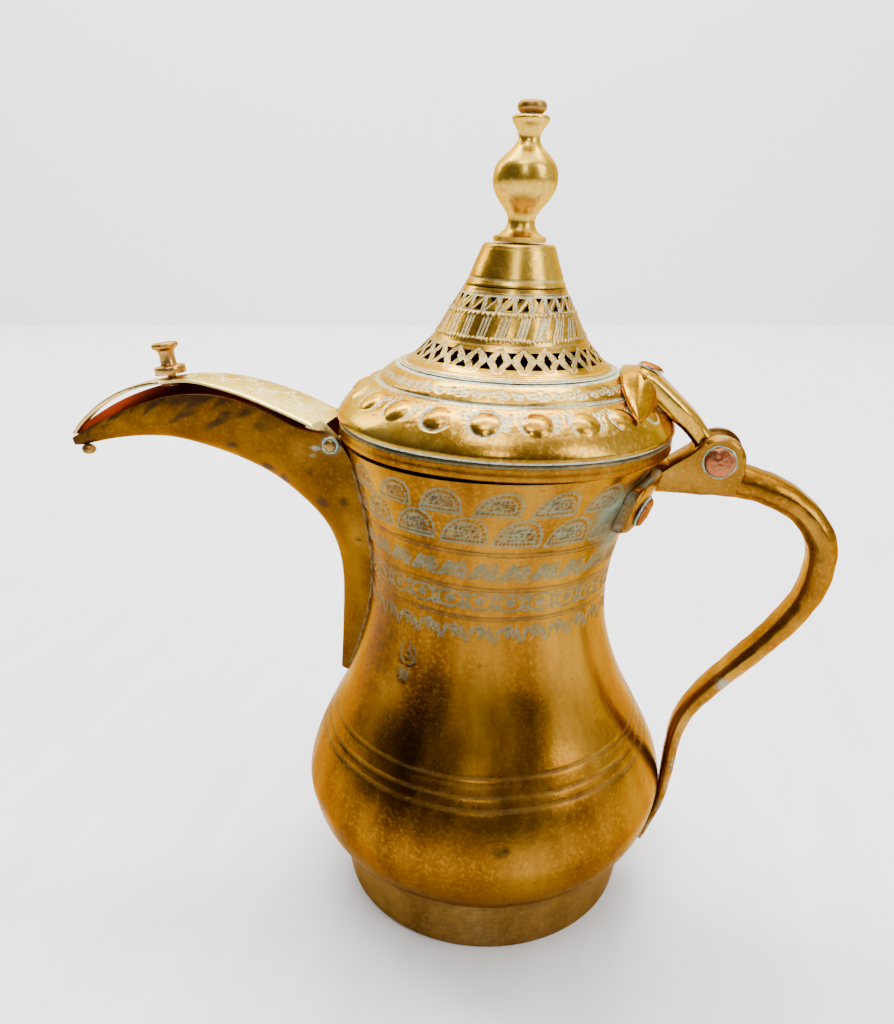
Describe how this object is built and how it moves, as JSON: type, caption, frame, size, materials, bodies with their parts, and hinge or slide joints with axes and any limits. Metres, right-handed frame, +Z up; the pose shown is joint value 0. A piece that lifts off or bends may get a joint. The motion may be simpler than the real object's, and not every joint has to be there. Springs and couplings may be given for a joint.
{
  "type": "dallah coffee pot",
  "caption": "Brass Arabic coffee pot with a waisted body, open beaked spout under a hinged cover, tall pierced hinged lid with a finial, and a looped strap handle.",
  "frame": {"origin": "centre of the foot on the surface the pot stands on", "axes": "+Z up, -X along the spout, +X along the handle, Y across the pot"},
  "size_m": [0.232, 0.112, 0.2313],
  "materials": {
    "body_shell": "aged hand-beaten brass, engraved",
    "foot_band": "worn brass, greyed",
    "base_plate": "worn brass, greyed",
    "spout": "dark tarnished brass",
    "spout_tip_bead": "worn brass",
    "spout_hinge_pin": "tarnished brass with verdigris",
    "handle": "forged brass, chamfered, verdigris in the seams",
    "handle_saddle": "tarnished brass",
    "saddle_rivet_near": "copper, peened",
    "saddle_rivet_far": "copper, peened",
    "lid_hinge_pin": "copper, peened",
    "lid_collar": "worn brass",
    "lid_dome": "embossed brass",
    "lid_spire": "pierced and engraved brass",
    "lid_crown": "turned brass",
    "finial": "turned brass, polished by handling",
    "finial_cap": "pale brass",
    "finial_washer": "brass",
    "lid_strap": "forged brass",
    "strap_rivet": "copper, peened",
    "spout_cover": "pale engraved brass",
    "cover_knob": "turned brass",
    "knob_washer": "brass"
  },
  "bodies": {
    "pot": {"body_shell": "body_shell", "foot_band": "foot_band", "base_plate": "base_plate", "spout": "spout", "spout_tip_bead": "spout_tip_bead", "spout_hinge_pin": "spout_hinge_pin", "handle": "handle", "handle_saddle": "handle_saddle", "saddle_rivet_near": "saddle_rivet_near", "saddle_rivet_far": "saddle_rivet_far", "lid_hinge_pin": "lid_hinge_pin"},
    "lid": {"lid_collar": "lid_collar", "lid_dome": "lid_dome", "lid_spire": "lid_spire", "lid_crown": "lid_crown", "finial": "finial", "finial_cap": "finial_cap", "finial_washer": "finial_washer", "lid_strap": "lid_strap", "strap_rivet": "strap_rivet"},
    "spout_cover": {"spout_cover": "spout_cover", "cover_knob": "cover_knob", "knob_washer": "knob_washer"}
  },
  "joints": [
    {"name": "lid_hinge", "type": "hinge", "parent": "pot", "child": "lid", "pos_m": [0.0637, 0, 0.1412], "axis": [0, 1, 0], "range_deg": [0, 88]},
    {"name": "spout_cover_hinge", "type": "hinge", "parent": "pot", "child": "spout_cover", "pos_m": [-0.0432, 0, 0.1418], "axis": [0, 1, 0], "range_deg": [0, 40]}
  ]
}
